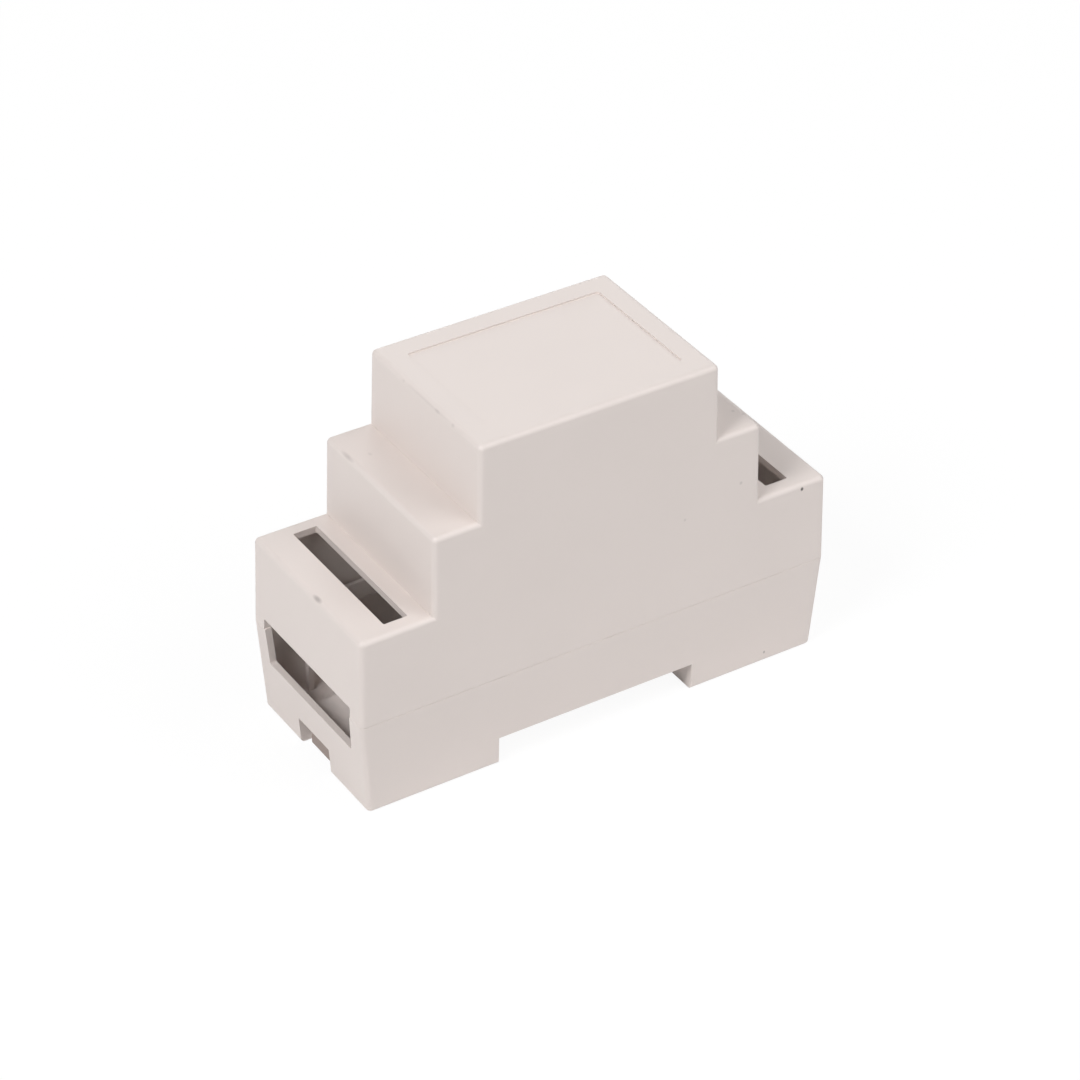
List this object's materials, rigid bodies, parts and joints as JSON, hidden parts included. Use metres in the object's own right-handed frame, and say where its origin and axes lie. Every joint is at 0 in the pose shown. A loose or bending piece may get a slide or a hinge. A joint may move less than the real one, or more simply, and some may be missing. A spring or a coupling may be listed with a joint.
{
  "type": "din rail enclosure",
  "caption": "Stepped plastic enclosure that clips onto a 35 mm rail, with terminal windows, wire openings in both ends, a lift-off cover and a sprung foot latch.",
  "frame": {"origin": "middle of the housing's footprint, on the surface that the two feet stand on", "axes": "+X along the housing from the latch end to the hook end, +Y across it, +Z from the feet up to the nose"},
  "size_m": [0.09, 0.035, 0.0634],
  "materials": {
    "housing_plastic": "fine matt moulded, warm light grey",
    "latch_plastic": "smooth moulded, grey brown",
    "spring_steel": "drawn wire"
  },
  "bodies": {
    "housing": {"base": "housing_plastic", "latch_spring": "spring_steel"},
    "cover": {"cover": "housing_plastic"},
    "latch": {"rail_latch": "latch_plastic"}
  },
  "joints": [
    {"name": "latch_slide", "type": "slide", "parent": "housing", "child": "latch", "axis": [-1, 0, 0], "range_m": [0, 0.003], "stiffness_N_per_m": 400, "springref_m": -0.003, "deforming": ["latch_spring"]},
    {"name": "cover_lift", "type": "slide", "parent": "housing", "child": "cover", "axis": [0, 0, 1], "range_m": [0, 0.04]}
  ]
}
